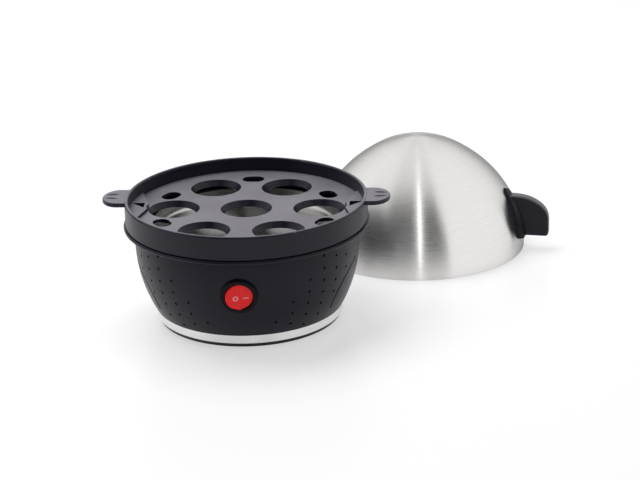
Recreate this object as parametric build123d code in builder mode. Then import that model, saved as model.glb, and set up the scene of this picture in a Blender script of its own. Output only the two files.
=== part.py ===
"""Electric egg cooker: base with a rocker switch, lift-off egg tray and a steel dome lid beside it.

Millimetres. The origin is on the base's axis at the table and +Z is up.
The switch faces -Y and the tray's ears lie on X.
"""
import os
from math import asin, atan2, cos, degrees, hypot, radians, sin, sqrt, tan

from build123d import *

os.makedirs("parts", exist_ok=True)

# Main sizes: outside of the tray's band, and height of its rim over the table
TRAY_R = 80.0
RIM_Z = 85.0

# Base, from the table up; the side's radii are set in from the tray's band
FEET_H = 2.5
PLATE_T = 2.8
TRIM_H = 5.6
TRIM_T = 1.0
TRIM_SET = 0.6
FOOT_IN = 17.5
MIDDLE_IN = 7.2
TOP_IN = 6.3
MIDDLE_SHARE = 0.52
WALL = 2.5
FLANGE_OUT = 1.3
FLANGE_T = 2.4

# Egg tray
RIM_T = 2.7
BAND_H = 15.5
RECESS_D = 9.5
FLOOR_T = 2.0
SHADOW_GAP = 0.7
TRAY_CLEARANCE = 0.9
SEAT_COUNT = 6
SEAT_PITCH_SHARE = 0.6
SEAT_TOP_R = 17.0
SEAT_LOW_R = 14.5
SEAT_D = 4.0
STEAM_HOLE_W = 11.0
STEAM_HOLE_L = 15.0
STEAM_PITCH_SHARE = 0.7375
STEAM_ANGLE = 26.5
LEDGE_H = 2.0
LEDGE_W = 13.3
LEDGE_SLANT = 16.0
SLOT_MARGIN = 0.5
EAR_HALF_W = 13.8
EAR_OUT = 15.0
EAR_ROUND = 11.0
EAR_T = 3.0
EAR_DROP = 0.4
EAR_EDGE = 0.8
FLUTE_R = 2.4
FLUTE_D = 0.8
FLUTE_IN_Y = 5.0
FLUTE_TIP_Y = 2.2
FLUTE_MARGIN = 1.0

# Dome lid, stood on the table beside the base
LID_X = 111.8
LID_Y = 134.5
LID_R = 76.5
LID_H = 81.6
LID_POINT = 1.17
LID_T = 0.8
HEM_H = 2.0
DOME_TURNS = (0, 15, 30, 45, 60, 72, 82, 90)

# Lid handle
HANDLE_ANGLE = -10.0
PAD_T = 1.2
GUARD_T = 2.0
GUARD_LOW = 10.0
GUARD_TOP = 44.6
GUARD_FOOT_W = 9.0
GUARD_EDGE = 0.8
GUARD_HALF_W = 7.4
GUARD_WIDE_SHARE = 0.42
GRIP_LOW = 10.7
GRIP_TOP = 40.4
GRIP_OUT = 18.5
GRIP_NOSE_Z = 21.5
GRIP_TOE_R = 2.5
GRIP_SHOULDER_IN = 7.5
GRIP_SHOULDER_DROP = 5.0
GRIP_T = 8.0
GRIP_EDGE = 1.5
BACK_T = 1.6
BACK_SHARE = 0.9
HEAD_SINK = 0.4
BACK_FIT = 0.05
LID_SCREW_TURNS = (14, 23)
LID_SCREW_BITE = 6.0

# Rocker switch
SWITCH_SHARE = 0.57
SWITCH_R = 10.3
SWITCH_CLEARANCE = 0.2
SWITCH_D = 13.0
SWITCH_CAVITY_D = 9.5
SWITCH_PAD_R = 12.4
SWITCH_PROUD = 0.3
BEZEL_R = 12.0
BEZEL_T = 1.3
BEZEL_EDGE = 0.7
ROCKER_R = 9.0
ROCKER_GAP = 0.3
ROCKER_RISE = 1.4
ROCKER_SWING = 22.0
ROCKER_DEPTH = 3.5
ROCKER_DISH = 0.6
ROCKER_EDGE = 0.5
TRUNNION_R = 1.0
TRUNNION_GAP = 0.06
TRUNNION_BITE = 0.6
BLADE_W = 4.8
BLADE_T = 0.8
BLADE_L = 8.0
BLADE_PITCH = 5.5
TAB_OUT = 1.0
TAB_L = 4.0
TAB_W = 4.0

# Side pattern
DIMPLE_R = 0.95
DIMPLE_D = 0.7
DIMPLE_ROWS = 7
DIMPLE_COLUMNS = 3
DIMPLE_ANGLE = 46.0
DIMPLE_STEP = 9.0
DIMPLE_DROP = 4.7
DIMPLE_PITCH_SHARE = 0.1525
DIMPLE_FALL_SHARE = 0.0595
GROOVE_R = 0.8
GROOVE_LOW_SHARE = 0.155
GROOVE_TOP_SHARE = 0.67
GROOVE_LOW_ANGLE = 56.5
GROOVE_TOP_ANGLE = 76.0
GROOVE_CURVE = 2.3
GROOVE_STEPS = 4

# Heating pan and what hangs under it
PAN_T = 1.2
PAN_DEPTH = 11.0
PAN_CORNER = 6.0
PAN_GAP = 0.6
SHELF_T = 2.5
SHELF_STEP = 0.2
SHELF_W = 7.0
SEAL_T = 1.0
STUD_R = 1.5
STUD_L = 7.0
NUT_R = 3.1
NUT_T = 2.2
SPREADER_SHARE = 0.71
SPREADER_T = 4.0
ELEMENT_SHARE = 0.8
ELEMENT_TUBE_R = 3.3
ELEMENT_OPENING = 66.0
ELEMENT_BEND = 6.0
ELEMENT_LEG = 14.0
PIN_R = 1.3
PIN_L = 5.0
SENSOR_CAP_R = 8.5
SENSOR_CAP_H = 4.0
SENSOR_R = 7.0
SENSOR_H = 7.0
STRAP_T = 1.0
STRAP_RIM = 2.0
STRAP_LEG_X = 13.0
STRAP_END_X = 20.5
STRAP_SCREW_R = 1.5
STRAP_HEAD_R = 2.6
STRAP_HEAD_H = 1.8

# Bottom, inlet and wiring
POST_R = 4.0
POST_SHARE = 0.87
POST_H = 25.0
RIB_T = 2.0
SCREW_R = 1.5
SCREW_L = 12.0
HEAD_R = 3.2
HEAD_H = 1.5
FOOT_RING_SHARE = 0.755
FOOT_RING_W = 6.0
FOOT_SINK = 1.0
VENT_W = 3.0
VENT_L = 18.0
VENT_SHARE = 0.43
VENT_COUNT = 8
BLOCK_W = 26.0
BLOCK_D = 14.0
BLOCK_H = 12.0
BLOCK_SHARE = 0.624
POLE_PITCH = 8.0
BLOCK_FRAME = 1.5
LEAD_R = 1.1
LEAD_BEND = 4.0
LEAD_RUN = 8.4
LEAD_SEAT = 4.0
FUSE_R = 2.2
FUSE_L = 10.0
FUSE_RUN = 0.5
EARTH_Y = 22.0
TAG_T = 0.8
TAG_W = 6.0
GLAND_SHARE = 0.2
GLAND_R = 5.5
GLAND_BORE_R = 3.2
GLAND_FLANGE_R = 8.0
GLAND_FLANGE_T = 2.0
GLAND_INSIDE_T = 2.0
GLAND_PAD_R = 9.5
GLAND_LIP = 0.8

# Levels and radii that follow
plate_top = FEET_H + PLATE_T
trim_top = plate_top + TRIM_H
foot_r = TRAY_R - FOOT_IN
middle_r = TRAY_R - MIDDLE_IN
top_r = TRAY_R - TOP_IN
flange_r = TRAY_R + FLANGE_OUT
lip_r = foot_r - TRIM_T - TRIM_SET
band_low = RIM_Z - BAND_H
flange_top = band_low - SHADOW_GAP
flange_low = flange_top - FLANGE_T
floor_z = RIM_Z - RECESS_D
floor_low = floor_z - FLOOR_T
tray_in_r = TRAY_R - RIM_T
ring_r = tray_in_r - TRAY_CLEARANCE
ring_in_r = top_r - WALL - SHELF_STEP
shelf_in_r = ring_in_r - SHELF_W
shelf_low = flange_low - SHELF_T - SHELF_STEP
shelf_top = shelf_low + SHELF_T
pan_rim_low = shelf_top + SEAL_T
pan_low = pan_rim_low + PAN_T - PAN_DEPTH
pan_wall_r = shelf_in_r - PAN_GAP
pan_in_r = pan_wall_r - PAN_T
stud_r_pitch = (shelf_in_r + ring_in_r) / 2
spreader_low = pan_low - SPREADER_T
spreader_r = pan_wall_r * SPREADER_SHARE
element_r = spreader_r * ELEMENT_SHARE
post_pitch_r = lip_r * POST_SHARE
foot_ring_r = lip_r * FOOT_RING_SHARE
vent_pitch_r = lip_r * VENT_SHARE
block_y = lip_r * BLOCK_SHARE
seat_pitch_r = TRAY_R * SEAT_PITCH_SHARE
steam_pitch_r = TRAY_R * STEAM_PITCH_SHARE
ledge_chord = tray_in_r - LEDGE_W
ear_tip_r = TRAY_R + EAR_OUT
grip_reach = LID_R + GRIP_OUT
side_h = flange_low - trim_top
middle_z = trim_top + side_h * MIDDLE_SHARE
switch_z = trim_top + side_h * SWITCH_SHARE
gland_z = trim_top + side_h * GLAND_SHARE
dimple_top = flange_low - DIMPLE_DROP
dimple_pitch = side_h * DIMPLE_PITCH_SHARE
dimple_fall = side_h * DIMPLE_FALL_SHARE
lead_low = spreader_low - ELEMENT_LEG - PIN_L - LEAD_RUN


def circle_through(a, b, c):
    """Centre and radius of the circle through three points of the side's profile."""
    d = 2 * (a[0] * (b[1] - c[1]) + b[0] * (c[1] - a[1]) + c[0] * (a[1] - b[1]))
    sa, sb, sc = (p[0] ** 2 + p[1] ** 2 for p in (a, b, c))
    x = (sa * (b[1] - c[1]) + sb * (c[1] - a[1]) + sc * (a[1] - b[1])) / d
    y = (sa * (c[0] - b[0]) + sb * (a[0] - c[0]) + sc * (b[0] - a[0])) / d
    return x, y, hypot(a[0] - x, a[1] - y)


side_foot = (foot_r, trim_top)
side_middle = (middle_r, middle_z)
side_top = (top_r, flange_low)
side_r, side_z, side_bend = circle_through(side_foot, side_middle, side_top)


def side_at(z):
    """Outside radius of the housing's curved side at a height."""
    return side_r + sqrt(side_bend ** 2 - (z - side_z) ** 2)


def wall_plane(angle, z, proud=0.0):
    """Plane on the housing's side, facing out; angle is measured from the front towards +X."""
    r = side_at(z)
    tilt = atan2(z - side_z, r - side_r)
    a = radians(angle)
    out = Vector(sin(a) * cos(tilt), -cos(a) * cos(tilt), sin(tilt))
    origin = Vector(r * sin(a), -r * cos(a), z) + out * proud
    return Plane(origin=origin, x_dir=(cos(a), sin(a), 0), z_dir=out)


def around(count, radius, start=0.0):
    """Points spaced evenly on a circle about the base's axis."""
    return [
        (radius * cos(radians(start + 360 / count * i)), radius * sin(radians(start + 360 / count * i)))
        for i in range(count)
    ]


# Planes of the switch: its face, and the section through its rocking sides
switch_face = wall_plane(0, switch_z, SWITCH_PROUD)
switch_section = Plane(origin=switch_face.origin, x_dir=switch_face.x_dir, z_dir=-switch_face.y_dir)
switch_axis = Axis(switch_face.origin, switch_face.z_dir)
cavity_r = ROCKER_R + ROCKER_GAP
trunnion_reach = cavity_r + TRUNNION_BITE

# Plane of the cord's inlet at the back
gland_face = wall_plane(180, gland_z, SWITCH_PROUD)
gland_section = Plane(origin=gland_face.origin, x_dir=gland_face.x_dir, z_dir=-gland_face.y_dir)
gland_axis = Axis(gland_face.origin, gland_face.z_dir)

post_spots = around(4, post_pitch_r, 45)
stud_spots = around(3, stud_r_pitch, 90)
seat_spots = [(0, 0)] + around(SEAT_COUNT, seat_pitch_r)
pole_spots = [-POLE_PITCH, 0, POLE_PITCH]


# Base housing: one moulding with flange, tray ring, pan shelf, screw posts, switch pad and inlet pad
with BuildPart() as base_housing:
    with BuildSketch(Plane.XZ):
        with BuildLine():
            Polyline((lip_r - WALL, plate_top), (lip_r, plate_top), (lip_r, trim_top), side_foot)
            ThreePointArc(side_foot, side_middle, side_top)
            edge = flange_r - FLANGE_T / 2
            Line(side_top, (edge, flange_low))
            ThreePointArc((edge, flange_low), (flange_r, flange_low + FLANGE_T / 2), (edge, flange_top))
            Polyline(
                (edge, flange_top),
                (ring_r, flange_top),
                (ring_r, floor_low),
                (ring_in_r, floor_low),
                (ring_in_r, shelf_top),
                (shelf_in_r, shelf_top),
                (shelf_in_r, shelf_low),
                (side_at(shelf_low) - WALL, shelf_low),
            )
            ThreePointArc(
                (side_at(shelf_low) - WALL, shelf_low),
                (middle_r - WALL, middle_z),
                (foot_r - WALL, trim_top),
            )
            Polyline((foot_r - WALL, trim_top), (lip_r - WALL, trim_top), (lip_r - WALL, plate_top))
        make_face()
    revolve(axis=Axis.Z)
    # Screw posts with a rib out to the wall
    post_top = plate_top + POST_H
    with BuildSketch(Plane.XY.offset(plate_top)):
        with Locations(*post_spots):
            Circle(POST_R)
    extrude(amount=POST_H)
    for angle in (45, 135, 225, 315):
        with BuildSketch(Plane.XZ.rotated((0, 0, angle))):
            with BuildLine():
                Polyline(
                    (post_pitch_r, plate_top),
                    (lip_r - WALL / 2, plate_top),
                    (lip_r - WALL / 2, trim_top),
                    (side_at(trim_top) - WALL / 2, trim_top),
                    (side_at(post_top) - WALL / 2, post_top),
                    (post_pitch_r, post_top),
                    close=True,
                )
            make_face()
        extrude(amount=RIB_T / 2, both=True)
    with BuildSketch(Plane.XY.offset(plate_top)):
        with Locations(*post_spots):
            Circle(SCREW_R)
    extrude(amount=SCREW_L, mode=Mode.SUBTRACT)
    # Flat pads for the switch and the inlet
    with BuildSketch(switch_face):
        Circle(SWITCH_PAD_R)
    extrude(amount=-WALL - SWITCH_PROUD)
    with BuildSketch(switch_face):
        Circle(SWITCH_R + SWITCH_CLEARANCE)
    extrude(amount=4 * WALL, both=True, mode=Mode.SUBTRACT)
    with BuildSketch(switch_face.offset(-WALL - SWITCH_PROUD)):
        Circle(SWITCH_R + TAB_OUT + SWITCH_CLEARANCE)
    extrude(amount=-4 * WALL, mode=Mode.SUBTRACT)
    with BuildSketch(gland_face):
        Circle(GLAND_PAD_R)
    extrude(amount=-WALL - SWITCH_PROUD)
    with BuildSketch(gland_face):
        Circle(GLAND_R)
    extrude(amount=4 * WALL, both=True, mode=Mode.SUBTRACT)
    with BuildSketch(gland_face.offset(-WALL - SWITCH_PROUD)):
        Circle(GLAND_R + GLAND_LIP)
    extrude(amount=-4 * WALL, mode=Mode.SUBTRACT)
    # Stud holes in the shelf
    with BuildSketch(Plane.XY.offset(shelf_low)):
        with Locations(*stud_spots):
            Circle(STUD_R)
    extrude(amount=SHELF_T, mode=Mode.SUBTRACT)
    # Rows of dimples that step towards the front in pairs as they go down
    dimple_planes = []
    for row in range(DIMPLE_ROWS):
        for column in range(DIMPLE_COLUMNS):
            steps = column - row // 2
            z = dimple_top - dimple_pitch * row - dimple_fall * steps
            if z > trim_top + 2 * DIMPLE_R:
                for side in (-1, 1):
                    dimple_planes.append(wall_plane(side * (DIMPLE_ANGLE + DIMPLE_STEP * steps), z))
    with Locations(*dimple_planes):
        Cylinder(DIMPLE_R, 2 * DIMPLE_D, mode=Mode.SUBTRACT)
    # Groove behind each swath of dimples
    for side in (-1, 1):
        groove_low = trim_top + side_h * GROOVE_LOW_SHARE
        groove_top = trim_top + side_h * GROOVE_TOP_SHARE
        groove_points = []
        for i in range(GROOVE_STEPS + 1):
            share = i / GROOVE_STEPS
            z = groove_low + (groove_top - groove_low) * share
            angle = GROOVE_LOW_ANGLE + (GROOVE_TOP_ANGLE - GROOVE_LOW_ANGLE) * share ** GROOVE_CURVE
            groove_points.append(wall_plane(side * angle, z).origin)
        with BuildLine() as groove:
            Spline(*groove_points)
        with BuildSketch(Plane(origin=groove.line @ 0, z_dir=groove.line % 0)):
            Circle(GROOVE_R)
        sweep(path=groove.line, mode=Mode.SUBTRACT)
base_housing.part.label = "base_housing"
export_step(base_housing.part, "parts/base_housing.step")

# Steel trim band round the foot
with BuildPart() as trim_band:
    with BuildSketch(Plane.XY.offset(plate_top)):
        Circle(lip_r + TRIM_T)
        Circle(lip_r, mode=Mode.SUBTRACT)
    extrude(amount=TRIM_H)
trim_band.part.label = "trim_band"
export_step(trim_band.part, "parts/trim_band.step")

# Bottom plate: bevelled edge, vents, screw recesses, foot groove and a frame round the terminal block
with BuildPart() as bottom_plate:
    with BuildSketch(Plane.XZ):
        with BuildLine():
            Polyline(
                (0, FEET_H),
                (lip_r - TRIM_T / 2, FEET_H),
                (lip_r + TRIM_T / 2, plate_top),
                (0, plate_top),
                close=True,
            )
        make_face()
    revolve(axis=Axis.Z)
    with BuildSketch(Plane.XY.offset(plate_top)):
        with Locations((0, block_y)):
            Rectangle(BLOCK_W + 2 * BLOCK_FRAME, BLOCK_D + 2 * BLOCK_FRAME)
            Rectangle(BLOCK_W, BLOCK_D, mode=Mode.SUBTRACT)
    extrude(amount=BLOCK_FRAME)
    with BuildSketch(Plane.XY.offset(FEET_H)):
        with Locations(*post_spots):
            Circle(SCREW_R)
        with PolarLocations(vent_pitch_r, VENT_COUNT, start_angle=180 / VENT_COUNT):
            SlotOverall(VENT_L, VENT_W)
    extrude(amount=PLATE_T, mode=Mode.SUBTRACT)
    with BuildSketch(Plane.XY.offset(FEET_H)):
        with Locations(*post_spots):
            Circle(HEAD_R)
    extrude(amount=HEAD_H, mode=Mode.SUBTRACT)
    with BuildSketch(Plane.XY.offset(FEET_H)):
        Circle(foot_ring_r)
        Circle(foot_ring_r - FOOT_RING_W, mode=Mode.SUBTRACT)
    extrude(amount=FOOT_SINK, mode=Mode.SUBTRACT)
bottom_plate.part.label = "bottom_plate"
export_step(bottom_plate.part, "parts/bottom_plate.step")

# Rubber ring that the base stands on, set in a groove
with BuildPart() as foot_ring:
    with BuildSketch(Plane.XY):
        Circle(foot_ring_r)
        Circle(foot_ring_r - FOOT_RING_W, mode=Mode.SUBTRACT)
    extrude(amount=FEET_H + FOOT_SINK)
foot_ring.part.label = "foot_ring"
export_step(foot_ring.part, "parts/foot_ring.step")

# Screws that hold the bottom plate to the posts
with BuildPart() as plate_screws:
    with BuildSketch(Plane.XY.offset(FEET_H)):
        with Locations(*post_spots):
            Circle(HEAD_R)
    extrude(amount=HEAD_H)
    with BuildSketch(Plane.XY.offset(FEET_H + HEAD_H)):
        with Locations(*post_spots):
            Circle(SCREW_R)
    extrude(amount=PLATE_T - HEAD_H + SCREW_L)
plate_screws.part.label = "plate_screws"
export_step(plate_screws.part, "parts/plate_screws.step")

# Heating pan with a flat rim and three weld studs
with BuildPart() as heating_pan:
    with BuildSketch(Plane.XZ):
        with BuildLine():
            corner = PAN_CORNER
            bend = corner * (1 - sqrt(0.5))
            rim_top = pan_rim_low + PAN_T
            inner = corner - PAN_T
            Line((0, pan_low), (pan_wall_r - corner, pan_low))
            ThreePointArc(
                (pan_wall_r - corner, pan_low),
                (pan_wall_r - bend, pan_low + bend),
                (pan_wall_r, pan_low + corner),
            )
            Polyline(
                (pan_wall_r, pan_low + corner),
                (pan_wall_r, pan_rim_low),
                (ring_in_r, pan_rim_low),
                (ring_in_r, rim_top),
                (pan_in_r, rim_top),
                (pan_in_r, pan_low + corner),
            )
            inner_bend = PAN_T + inner * (1 - sqrt(0.5))
            ThreePointArc(
                (pan_in_r, pan_low + corner),
                (pan_wall_r - inner_bend, pan_low + inner_bend),
                (pan_wall_r - corner, pan_low + PAN_T),
            )
            Polyline((pan_wall_r - corner, pan_low + PAN_T), (0, pan_low + PAN_T), (0, pan_low))
        make_face()
    revolve(axis=Axis.Z)
    with BuildSketch(Plane.XY.offset(pan_rim_low)):
        with Locations(*stud_spots):
            Circle(STUD_R)
    extrude(amount=-STUD_L)
heating_pan.part.label = "heating_pan"
export_step(heating_pan.part, "parts/heating_pan.step")

# Silicone seal between the pan's rim and the shelf
with BuildPart() as pan_seal:
    with BuildSketch(Plane.XY.offset(shelf_top)):
        Circle(ring_in_r)
        Circle(shelf_in_r, mode=Mode.SUBTRACT)
        with Locations(*stud_spots):
            Circle(STUD_R, mode=Mode.SUBTRACT)
    extrude(amount=SEAL_T)
pan_seal.part.label = "pan_seal"
export_step(pan_seal.part, "parts/pan_seal.step")

# Nuts on the pan's studs, under the shelf
with BuildPart() as pan_nuts:
    with BuildSketch(Plane.XY.offset(shelf_low)):
        with Locations(*stud_spots):
            RegularPolygon(NUT_R, 6)
            Circle(STUD_R, mode=Mode.SUBTRACT)
    extrude(amount=-NUT_T)
pan_nuts.part.label = "pan_nuts"
export_step(pan_nuts.part, "parts/pan_nuts.step")

# Tubular heating element: an open ring whose ends bend down into connection pins
element_ends = []
with BuildPart() as heating_element:
    gap_half = ELEMENT_OPENING / 2
    with BuildLine() as element_path:
        with BuildLine(Plane.XY.offset(spreader_low)):
            ring = CenterArc((0, 0), element_r, 90 + gap_half, 360 - 2 * gap_half)
        for share, sense in ((0, -1), (1, 1)):
            start = ring @ share
            ahead = (ring % share) * sense
            bend_low = start + ahead * ELEMENT_BEND - Vector(0, 0, ELEMENT_BEND)
            drop = ELEMENT_BEND * (1 - sqrt(0.5))
            halfway = start + ahead * ELEMENT_BEND * sqrt(0.5) - Vector(0, 0, drop)
            leg_low = bend_low - Vector(0, 0, ELEMENT_LEG - ELEMENT_BEND)
            ThreePointArc(start, halfway, bend_low)
            Line(bend_low, leg_low)
            element_ends.append(leg_low)
    route = element_path.wires()[0]
    with BuildSketch(Plane(origin=route @ 0, z_dir=route % 0)):
        Circle(ELEMENT_TUBE_R)
    sweep(path=route)
    with BuildSketch(Plane.XY.offset(element_ends[0].Z)):
        with Locations(*[(end.X, end.Y) for end in element_ends]):
            Circle(PIN_R)
    extrude(amount=-PIN_L)
element_ends = [end - Vector(0, 0, PIN_L) for end in element_ends]
heating_element.part.label = "heating_element"
export_step(heating_element.part, "parts/heating_element.step")

# Aluminium spreader brazed under the pan, channelled for the element and drilled for its screws
strap_screw_x = (STRAP_LEG_X + STRAP_T + STRAP_END_X) / 2
spreader_screws = [(-strap_screw_x, 0), (strap_screw_x, 0), (0, EARTH_Y)]
with BuildPart() as heat_spreader:
    with BuildSketch(Plane.XY.offset(spreader_low)):
        Circle(spreader_r)
        with Locations(*spreader_screws):
            Circle(STRAP_SCREW_R, mode=Mode.SUBTRACT)
    extrude(amount=SPREADER_T)
    add(heating_element.part, mode=Mode.SUBTRACT)
heat_spreader.part.label = "heat_spreader"
export_step(heat_spreader.part, "parts/heat_spreader.step")

# Thermostat: cap against the spreader, moulded body under it and two blades
sensor_low = spreader_low - SENSOR_CAP_H - SENSOR_H
blade_z = sensor_low + SENSOR_H / 3
blade_end = STRAP_LEG_X
with BuildPart() as thermostat_cap:
    with BuildSketch(Plane.XY.offset(spreader_low)):
        Circle(SENSOR_CAP_R)
    extrude(amount=-SENSOR_CAP_H)
thermostat_cap.part.label = "thermostat_cap"
export_step(thermostat_cap.part, "parts/thermostat_cap.step")

with BuildPart() as thermostat_blades:
    with BuildSketch(Plane.XY.offset(blade_z)):
        with Locations((-(blade_end + SENSOR_R / 2) / 2, 0), ((blade_end + SENSOR_R / 2) / 2, 0)):
            Rectangle(blade_end - SENSOR_R / 2, BLADE_W)
    extrude(amount=BLADE_T / 2, both=True)
thermostat_blades.part.label = "thermostat_blades"
export_step(thermostat_blades.part, "parts/thermostat_blades.step")

with BuildPart() as thermostat_body:
    with BuildSketch(Plane.XY.offset(sensor_low)):
        Circle(SENSOR_R)
    extrude(amount=SENSOR_H)
    add(thermostat_blades.part, mode=Mode.SUBTRACT)
thermostat_body.part.label = "thermostat_body"
export_step(thermostat_body.part, "parts/thermostat_body.step")

# Strap that presses the thermostat against the spreader
strap_top = spreader_low - SENSOR_CAP_H
with BuildPart() as thermostat_strap:
    with BuildSketch(Plane.XZ):
        with BuildLine():
            Polyline(
                (-STRAP_END_X, spreader_low),
                (-STRAP_LEG_X, spreader_low),
                (-STRAP_LEG_X, strap_top),
                (STRAP_LEG_X, strap_top),
                (STRAP_LEG_X, spreader_low),
                (STRAP_END_X, spreader_low),
                (STRAP_END_X, spreader_low - STRAP_T),
                (STRAP_LEG_X + STRAP_T, spreader_low - STRAP_T),
                (STRAP_LEG_X + STRAP_T, strap_top - STRAP_T),
                (-STRAP_LEG_X - STRAP_T, strap_top - STRAP_T),
                (-STRAP_LEG_X - STRAP_T, spreader_low - STRAP_T),
                (-STRAP_END_X, spreader_low - STRAP_T),
                close=True,
            )
        make_face()
    extrude(amount=SENSOR_R + STRAP_RIM, both=True)
    with BuildSketch(Plane.XY.offset(strap_top)):
        Circle(SENSOR_R)
    extrude(amount=-STRAP_T, mode=Mode.SUBTRACT)
    with BuildSketch(Plane.XY.offset(spreader_low)):
        with Locations(*spreader_screws[:2]):
            Circle(STRAP_SCREW_R)
    extrude(amount=-STRAP_T, mode=Mode.SUBTRACT)
thermostat_strap.part.label = "thermostat_strap"
export_step(thermostat_strap.part, "parts/thermostat_strap.step")

with BuildPart() as strap_screws:
    with BuildSketch(Plane.XY.offset(spreader_low - STRAP_T)):
        with Locations(*spreader_screws[:2]):
            Circle(STRAP_HEAD_R)
    extrude(amount=-STRAP_HEAD_H)
    with BuildSketch(Plane.XY.offset(spreader_low - STRAP_T)):
        with Locations(*spreader_screws[:2]):
            Circle(STRAP_SCREW_R)
    extrude(amount=STRAP_T + SPREADER_T)
strap_screws.part.label = "strap_screws"
export_step(strap_screws.part, "parts/strap_screws.step")

# Earth tag and its screw
tag_lead_y = EARTH_Y - TAG_W
with BuildPart() as earth_tag:
    with BuildSketch(Plane.XY.offset(spreader_low)):
        with Locations((0, (EARTH_Y + tag_lead_y) / 2)):
            Rectangle(TAG_W, 2 * TAG_W)
        with Locations((0, EARTH_Y)):
            Circle(STRAP_SCREW_R, mode=Mode.SUBTRACT)
    extrude(amount=-TAG_T)
earth_tag.part.label = "earth_tag"
export_step(earth_tag.part, "parts/earth_tag.step")

with BuildPart() as earth_screw:
    with BuildSketch(Plane.XY.offset(spreader_low - TAG_T)):
        with Locations((0, EARTH_Y)):
            Circle(STRAP_HEAD_R)
    extrude(amount=-STRAP_HEAD_H)
    with BuildSketch(Plane.XY.offset(spreader_low - TAG_T)):
        with Locations((0, EARTH_Y)):
            Circle(STRAP_SCREW_R)
    extrude(amount=TAG_T + SPREADER_T)
earth_screw.part.label = "earth_screw"
export_step(earth_screw.part, "parts/earth_screw.step")

# Switch blades, through the floor of the switch's body
with BuildPart() as switch_blades:
    with BuildSketch(switch_face.offset(-SWITCH_CAVITY_D)):
        with Locations((-BLADE_PITCH, 0), (0, 0), (BLADE_PITCH, 0)):
            Rectangle(BLADE_T, BLADE_W)
    extrude(amount=-(SWITCH_D - SWITCH_CAVITY_D + BLADE_L))
switch_blades.part.label = "switch_blades"
export_step(switch_blades.part, "parts/switch_blades.step")

# Switch body: round bezel, barrel, rocker cavity, trunnion bores and snap tabs behind the wall
with BuildPart() as switch_body:
    with BuildSketch(switch_section):
        with BuildLine():
            Polyline(
                (0, -SWITCH_D),
                (SWITCH_R, -SWITCH_D),
                (SWITCH_R, 0),
                (BEZEL_R, 0),
                (BEZEL_R, BEZEL_T - BEZEL_EDGE),
            )
            RadiusArc((BEZEL_R, BEZEL_T - BEZEL_EDGE), (BEZEL_R - BEZEL_EDGE, BEZEL_T), -BEZEL_EDGE)
            Polyline(
                (BEZEL_R - BEZEL_EDGE, BEZEL_T),
                (cavity_r, BEZEL_T),
                (cavity_r, -SWITCH_CAVITY_D),
                (0, -SWITCH_CAVITY_D),
                (0, -SWITCH_D),
            )
        make_face()
    revolve(axis=switch_axis)
    with BuildSketch(switch_section):
        Circle(TRUNNION_R + TRUNNION_GAP)
    extrude(amount=trunnion_reach + TRUNNION_GAP, both=True, mode=Mode.SUBTRACT)
    for side in (-1, 1):
        with BuildSketch(switch_section):
            with BuildLine():
                tab_top = -WALL - SWITCH_PROUD
                tab_root = (cavity_r + SWITCH_R) / 2
                Polyline(
                    (side * tab_root, tab_top),
                    (side * (SWITCH_R + TAB_OUT), tab_top),
                    (side * SWITCH_R, tab_top - TAB_L),
                    (side * tab_root, tab_top - TAB_L),
                    close=True,
                )
            make_face()
        extrude(amount=TAB_W / 2, both=True)
    add(switch_blades.part, mode=Mode.SUBTRACT)
switch_body.part.label = "switch_body"
export_step(switch_body.part, "parts/switch_body.step")

# Rocker with a dished face, shown on: its right side is pressed in by half the swing
rocker_section = switch_section.rotated((0, 0, ROCKER_SWING / 2))
rocker_axis = Axis(rocker_section.origin, rocker_section.y_dir)
rocker_reach = 1.5 * ROCKER_R
dish_r = (ROCKER_R ** 2 + ROCKER_DISH ** 2) / (2 * ROCKER_DISH)
dish_low = ROCKER_RISE - ROCKER_DISH
dish_end = dish_low + dish_r - sqrt(dish_r ** 2 - rocker_reach ** 2)
with BuildPart() as switch_rocker:
    with BuildSketch(rocker_section):
        with BuildLine():
            Polyline(
                (-rocker_reach, dish_end),
                (-rocker_reach, -ROCKER_DEPTH),
                (rocker_reach, -ROCKER_DEPTH),
                (rocker_reach, dish_end),
            )
            ThreePointArc((rocker_reach, dish_end), (0, dish_low), (-rocker_reach, dish_end))
        make_face()
    extrude(amount=rocker_reach, both=True)
    with Locations(switch_face):
        Sphere(ROCKER_R, mode=Mode.INTERSECT)
    fillet(switch_rocker.faces().sort_by(rocker_axis)[-1].edges(), ROCKER_EDGE)
    with BuildSketch(switch_section):
        Circle(TRUNNION_R)
    extrude(amount=trunnion_reach, both=True)
switch_rocker.part.label = "switch_rocker"
export_step(switch_rocker.part, "parts/switch_rocker.step")

# Cord inlet bushing at the back
with BuildPart() as cord_gland:
    with BuildSketch(gland_section):
        with BuildLine():
            inside = -WALL - SWITCH_PROUD
            Polyline(
                (GLAND_BORE_R, inside - GLAND_INSIDE_T),
                (GLAND_R + GLAND_LIP, inside - GLAND_INSIDE_T),
                (GLAND_R + GLAND_LIP, inside),
                (GLAND_R, inside),
                (GLAND_R, 0),
                (GLAND_FLANGE_R, 0),
                (GLAND_FLANGE_R, GLAND_FLANGE_T / 2),
                (GLAND_FLANGE_R - GLAND_FLANGE_T / 2, GLAND_FLANGE_T),
                (GLAND_BORE_R, GLAND_FLANGE_T),
                close=True,
            )
        make_face()
    revolve(axis=gland_axis)
cord_gland.part.label = "cord_gland"
export_step(cord_gland.part, "parts/cord_gland.step")

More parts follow.
